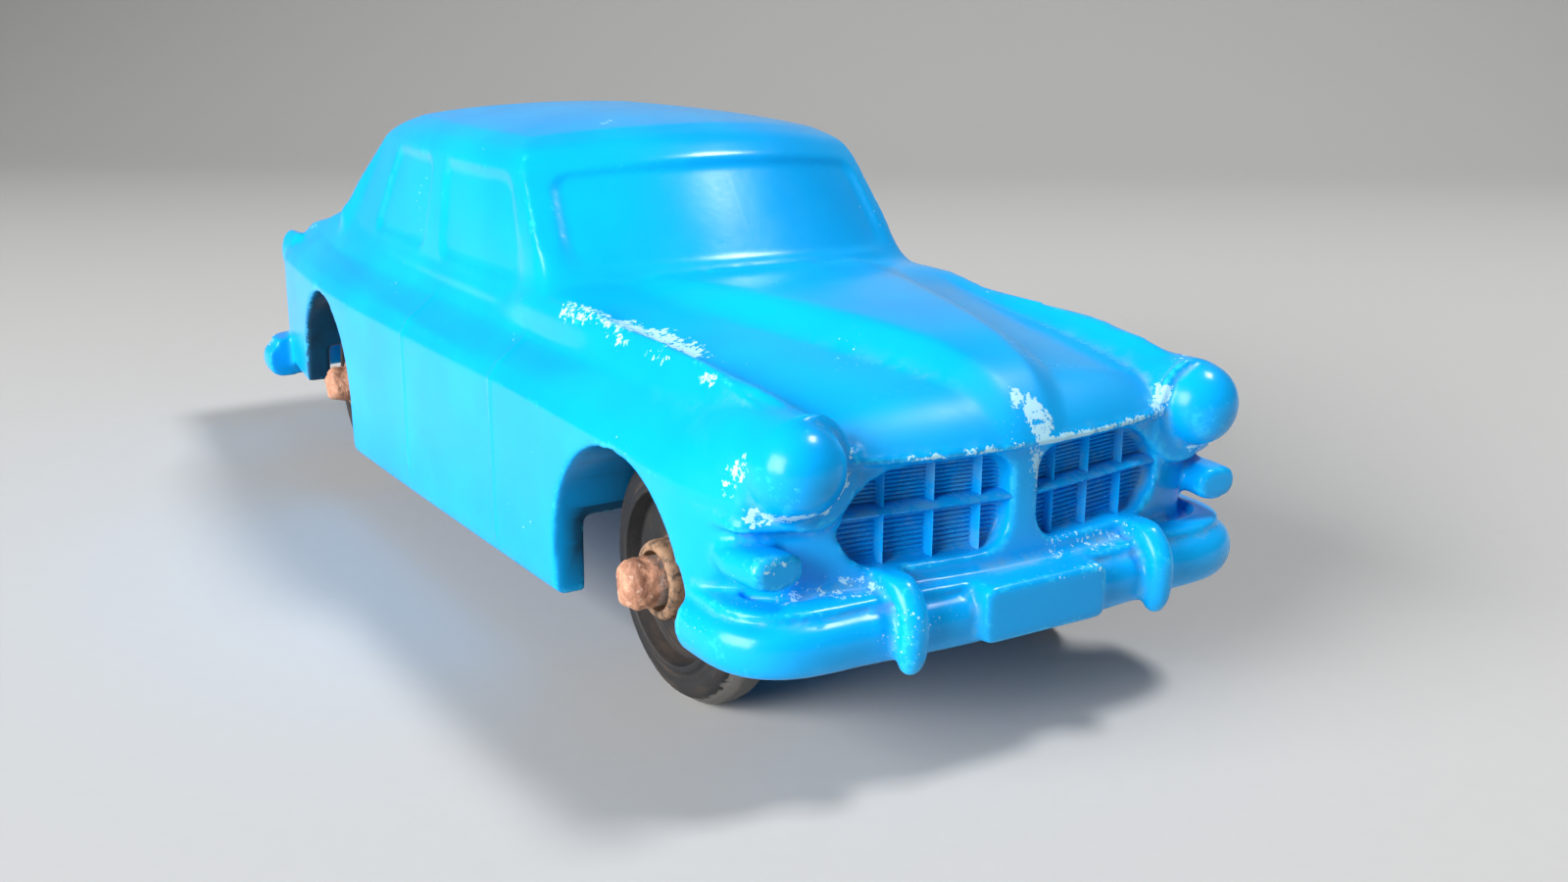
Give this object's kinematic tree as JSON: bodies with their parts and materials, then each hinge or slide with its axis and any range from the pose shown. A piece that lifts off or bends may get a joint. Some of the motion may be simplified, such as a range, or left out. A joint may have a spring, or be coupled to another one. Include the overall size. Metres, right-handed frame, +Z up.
{
  "type": "toy car",
  "caption": "Small soft-vinyl toy saloon: hollow one-piece body on two wire axles with turning rubber wheels.",
  "frame": {"origin": "on the floor, under the middle of the car's overall length and width", "axes": "the car faces -Y, +Z up, +X towards the car's left side"},
  "size_m": [0.0384, 0.1034, 0.0342],
  "materials": {
    "body_vinyl": "glossy moulded vinyl, self coloured, scuffed on its edges",
    "axle_steel": "bare steel wire, rusted at its upset ends",
    "wheel_rubber": "matt moulded rubber, dusty"
  },
  "bodies": {
    "body": {"body_shell": "body_vinyl"},
    "front_axle": {"front_axle": "axle_steel"},
    "rear_axle": {"rear_axle": "axle_steel"},
    "wheel_front_left": {"wheel_front_left": "wheel_rubber"},
    "wheel_front_right": {"wheel_front_right": "wheel_rubber"},
    "wheel_rear_left": {"wheel_rear_left": "wheel_rubber"},
    "wheel_rear_right": {"wheel_rear_right": "wheel_rubber"}
  },
  "joints": [
    {"name": "front_axle_spin", "type": "hinge", "parent": "body", "child": "front_axle", "pos_m": [0, -0.0337, 0.0081], "axis": [1, 0, 0], "continuous": true},
    {"name": "rear_axle_spin", "type": "hinge", "parent": "body", "child": "rear_axle", "pos_m": [0, 0.0268, 0.0081], "axis": [1, 0, 0], "continuous": true},
    {"name": "front_left_wheel_spin", "type": "hinge", "parent": "front_axle", "child": "wheel_front_left", "pos_m": [0.0129, -0.0337, 0.0081], "axis": [1, 0, 0], "continuous": true},
    {"name": "front_right_wheel_spin", "type": "hinge", "parent": "front_axle", "child": "wheel_front_right", "pos_m": [-0.0129, -0.0337, 0.0081], "axis": [1, 0, 0], "continuous": true},
    {"name": "rear_left_wheel_spin", "type": "hinge", "parent": "rear_axle", "child": "wheel_rear_left", "pos_m": [0.0129, 0.0268, 0.0081], "axis": [1, 0, 0], "continuous": true},
    {"name": "rear_right_wheel_spin", "type": "hinge", "parent": "rear_axle", "child": "wheel_rear_right", "pos_m": [-0.0129, 0.0268, 0.0081], "axis": [1, 0, 0], "continuous": true}
  ]
}
